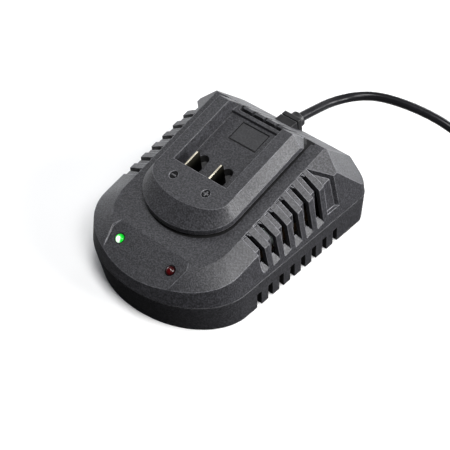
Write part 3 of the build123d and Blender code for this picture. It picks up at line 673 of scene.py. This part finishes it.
bridge_finish = moulded_plastic("bridge_nylon", (0.30, 0.30, 0.28), (0.42, 0.42, 0.39), 0.5,
                                wear_and_highlight=0.2, dust=0.02)
dress(bridge_finish, "lamp_bridge")


# ---------------------------------------------------------------------------------------------
# Strain relief
# Soft black PVC collar moulded round the lead. A groove near its flange holds it in the opening
# of the rear wall.
# ---------------------------------------------------------------------------------------------

relief_finish = moulded_plastic("relief_pvc", (0.005, 0.005, 0.006), (0.011, 0.011, 0.012), 0.42,
                                grain_size=0.0006, grain_depth=0.00004, edge_radius=0.0006,
                                wear_and_highlight=0.15)
dress(relief_finish, "strain_relief")


# ---------------------------------------------------------------------------------------------
# Plug
# Flat two-pin plug in black PVC, moulded over its pins. The pins are nickel-plated brass with a
# black sleeve over the half next to the body.
# ---------------------------------------------------------------------------------------------

plug_finish = moulded_plastic("plug_pvc", (0.010, 0.010, 0.011), (0.020, 0.020, 0.022), 0.34,
                              grain_size=0.0005, grain_depth=0.00004, edge_radius=0.0008,
                              wear_and_highlight=0.25)
dress(plug_finish, "plug_body")

pin_direction = Vector((-0.4248, -0.9053, 0))
sleeve_start, sleeve_length, sleeve_edge = Vector((0.1521, 0.0461, 0)), 0.010, 0.0001
sleeve_end = sleeve_start.dot(pin_direction) + sleeve_length
pin_finish, tree, shader = new_finish("pin_nickel", (0.72, 0.70, 0.66), 0.2, metallic=1.0)
place = fit(tree, "TexCoord").outputs["Object"]
along_pin = fit(tree, "VectorMath", {0: place, 1: pin_direction}, operation="DOT_PRODUCT")
bare = graded(tree, along_pin.outputs["Value"], sleeve_end - sleeve_edge, sleeve_end + sleeve_edge)
strip = fit(tree, "Group", {"Line Size": 0.0003, "Tarnish Size": 0.003},
            node_tree=strip_group).outputs
nickel = tinted(tree, strip["Tarnish"], (0.74, 0.72, 0.68), (0.55, 0.53, 0.49))
join(shader, {"Base Color": tinted(tree, bare, (0.012, 0.012, 0.013), nickel),
              "Roughness": graded(tree, bare, 0, 1, 0.35, 0.20), "Metallic": bare})
dress(pin_finish, "plug_pins")


# ---------------------------------------------------------------------------------------------
# Feet and housing screws
# Four black rubber pads are pressed into pockets of the tub. Four zinc-plated steel screws sit
# deep in their counterbores beside them.
# ---------------------------------------------------------------------------------------------

foot_finish = moulded_plastic("foot_rubber", (0.010, 0.010, 0.010), (0.020, 0.020, 0.020), 0.75,
                              grain_size=0.0007, grain_depth=0.00008, edge_radius=0.0005,
                              wear_and_highlight=0.3, shine=0.3)
dress(foot_finish, "rubber_feet")
screw_finish = bare_metal("screw_zinc", (0.62, 0.63, 0.64), (0.40, 0.41, 0.42), 0.30,
                          tarnish_size=0.0015)
dress(screw_finish, "housing_screws")


# ---------------------------------------------------------------------------------------------
# Circuit board
# Brown phenolic board, 1.6 mm thick, with its copper tracks under a thin clear mask. It rests on
# four standoffs of the tub.
# ---------------------------------------------------------------------------------------------

track_pitch, track_gap, track_depth = 0.0030, 0.16, 0.00004
board_finish, tree, shader = new_finish("phenolic_board", (0.024, 0.016, 0.008), 0.3)
place = fit(tree, "TexCoord").outputs["Object"]
tracks = fit(tree, "TexBrick", {
    "Vector": place, "Scale": 1 / track_pitch, "Mortar Size": track_gap,
    "Color1": (0.020, 0.013, 0.006, 1), "Color2": (0.028, 0.018, 0.009, 1),
    "Mortar": (0.030, 0.018, 0.009, 1)}).outputs
relief = fit(tree, "Bump", {"Strength": 0.6, "Distance": track_depth, "Height": tracks["Fac"]})
grain = fit(tree, "Group", {"Grain Size": 0.0008, "Drift Size": 0.015},
            node_tree=grain_group).outputs
join(shader, {"Base Color": tracks["Color"], "Normal": relief.outputs["Normal"],
              "Roughness": graded(tree, grain["Drift"], 0, 1, 0.22, 0.42)})
dress(board_finish, "circuit_board")


# ---------------------------------------------------------------------------------------------
# Transformer and choke
# Ground ferrite cores, a winding wrapped in polyester tape, painted dark amber with the shade
# inside the housing, and a ring core with a green coat. Their leads are soldered through the
# board.
# ---------------------------------------------------------------------------------------------

ferrite_finish = moulded_plastic("ground_ferrite", (0.022, 0.021, 0.021), (0.060, 0.058, 0.057),
                                 0.55, grain_size=0.0003, grain_depth=0.00005,
                                 edge_radius=0.0002, wear_and_highlight=0.6)
dress(ferrite_finish, "transformer_core")
# painted shade: the tape's colour is darkened for the shade inside the housing
shaded_tape_finish = moulded_plastic("winding_tape_shaded", (0.022, 0.015, 0.004), (0.034, 0.024, 0.006), 0.22,
                              grain_size=0.0015, grain_depth=0.00012, edge_radius=0.0004,
                              wear_and_highlight=0.0)
dress(shaded_tape_finish, "transformer_winding")
ring_finish = moulded_plastic("ring_core_coat", (0.03, 0.12, 0.07), (0.05, 0.18, 0.10), 0.35,
                              grain_size=0.0006, edge_radius=0.0006, wear_and_highlight=0.3,
                              wear_and_highlight_colour=(0.10, 0.24, 0.15))
dress(ring_finish, "choke_core")


# ---------------------------------------------------------------------------------------------
# Capacitors
# Aluminium cans in shrunk dark sleeves with a pale stripe at the negative lead, and one film
# capacitor in an amber box painted dark with the shade inside the housing. All stand on the board
# on their leads.
# ---------------------------------------------------------------------------------------------

stripe_width, stripe_pitch, can_top_facing = 0.0022, 0.006, 0.9
sleeve_finish, tree, shader = new_finish("can_sleeve", (0.010, 0.010, 0.012), 0.25)
place = fit(tree, "TexCoord").outputs["Object"]
sides = fit(tree, "SeparateXYZ", {"Vector": place}).outputs
stripe = reckon(tree, "LESS_THAN", reckon(tree, "PINGPONG", sides["X"], stripe_pitch),
                stripe_width / 2)
surface = fit(tree, "NewGeometry").outputs["Normal"]
up = fit(tree, "SeparateXYZ", {"Vector": surface}).outputs["Z"]
can_top = reckon(tree, "GREATER_THAN", up, can_top_facing)
sleeve = tinted(tree, stripe, (0.008, 0.008, 0.010), (0.55, 0.57, 0.60))
join(shader, {"Base Color": tinted(tree, can_top, sleeve, (0.30, 0.305, 0.31)),
              "Metallic": can_top})
dress(sleeve_finish, "mains_capacitor", "output_capacitors")
# painted shade: the box's colour is darkened for the shade inside the housing
shaded_film_finish = moulded_plastic("film_box", (0.022, 0.015, 0.004), (0.034, 0.024, 0.006), 0.35,
                              grain_size=0.0005, edge_radius=0.0003, wear_and_highlight=0.3,
                              wear_and_highlight_colour=(0.10, 0.07, 0.03))
dress(shaded_film_finish, "suppression_capacitor")


# ---------------------------------------------------------------------------------------------
# Heat sinks and power packages
# Black-anodised aluminium sinks with three fins, each with a transistor or rectifier in black
# moulded epoxy held against it. The chip is cast in the same epoxy, the optocoupler in white.
# ---------------------------------------------------------------------------------------------

sink_finish = bare_metal("sink_anodised", (0.045, 0.045, 0.048), (0.025, 0.025, 0.027), 0.42,
                         tarnish_size=0.006)
dress(sink_finish, "transistor_heat_sink", "rectifier_heat_sink")
epoxy_finish = moulded_plastic("package_epoxy", (0.012, 0.012, 0.013), (0.026, 0.026, 0.027), 0.5,
                               grain_size=0.0002, grain_depth=0.00003, edge_radius=0.0002,
                               wear_and_highlight=0.3)
dress(epoxy_finish, "switching_transistor", "output_rectifier", "controller_chip")
coupler_finish = moulded_plastic("coupler_epoxy", (0.60, 0.60, 0.57), (0.72, 0.72, 0.69), 0.45,
                                 grain_size=0.0003, grain_depth=0.00003, edge_radius=0.0002,
                                 wear_and_highlight=0.1)
dress(coupler_finish, "optocoupler")


# ---------------------------------------------------------------------------------------------
# Fuse
# Glass tube with a thin wire in it and a nickel-plated cap pressed on each end. It is clipped to
# the board beside the lead wires.
# ---------------------------------------------------------------------------------------------

fuse_middle, cap_start = 0.009, 0.004
fuse_finish, tree, shader = new_finish("fuse_glass", (0.75, 0.80, 0.78), 0.08)
place = fit(tree, "TexCoord").outputs["Object"]
along_fuse = fit(tree, "SeparateXYZ", {"Vector": place}).outputs["Y"]
glass = reckon(tree, "COMPARE", along_fuse, fuse_middle, cap_start)
join(shader, {"Base Color": tinted(tree, glass, (0.68, 0.67, 0.63), (0.55, 0.62, 0.60)),
              "Metallic": reckon(tree, "SUBTRACT", 1, glass)})
dress(fuse_finish, "fuse")


# ---------------------------------------------------------------------------------------------
# Contact carrier and cord clamp
# Glass-filled nylon mouldings: the carrier grips the feet of the two blades, and the clamp
# holds the lead where it enters the housing.
# ---------------------------------------------------------------------------------------------

carrier_finish = moulded_plastic("carrier_nylon", (0.020, 0.020, 0.021), (0.045, 0.045, 0.046),
                                 0.55, grain_size=0.0003, grain_depth=0.00006,
                                 edge_radius=0.0003, wear_and_highlight=0.3)
dress(carrier_finish, "contact_carrier", "cord_clamp")


# ---------------------------------------------------------------------------------------------
# Wires
# Stranded copper in PVC: brown and blue from the lead to the board, black and red from the
# board to the feet of the blades.
# ---------------------------------------------------------------------------------------------

for name, between, left, right in (
        ("mains_wires", 0.0, (0.015, 0.06, 0.35), (0.16, 0.055, 0.02)),
        ("output_wires", -0.004, (0.010, 0.010, 0.011), (0.50, 0.015, 0.012))):
    finish, tree, shader = new_finish(name + "_pvc", left, 0.3)
    place = fit(tree, "TexCoord").outputs["Object"]
    sides = fit(tree, "SeparateXYZ", {"Vector": place}).outputs
    right_hand = reckon(tree, "GREATER_THAN", sides["X"], between)
    grain = fit(tree, "Group", {"Grain Size": 0.0008, "Drift Size": 0.006},
                node_tree=grain_group).outputs
    relief = fit(tree, "Bump", {"Strength": 0.3, "Distance": 0.00005, "Height": grain["Height"]})
    join(shader, {"Base Color": tinted(tree, right_hand, left, right),
                  "Normal": relief.outputs["Normal"]})
    dress(finish, name)
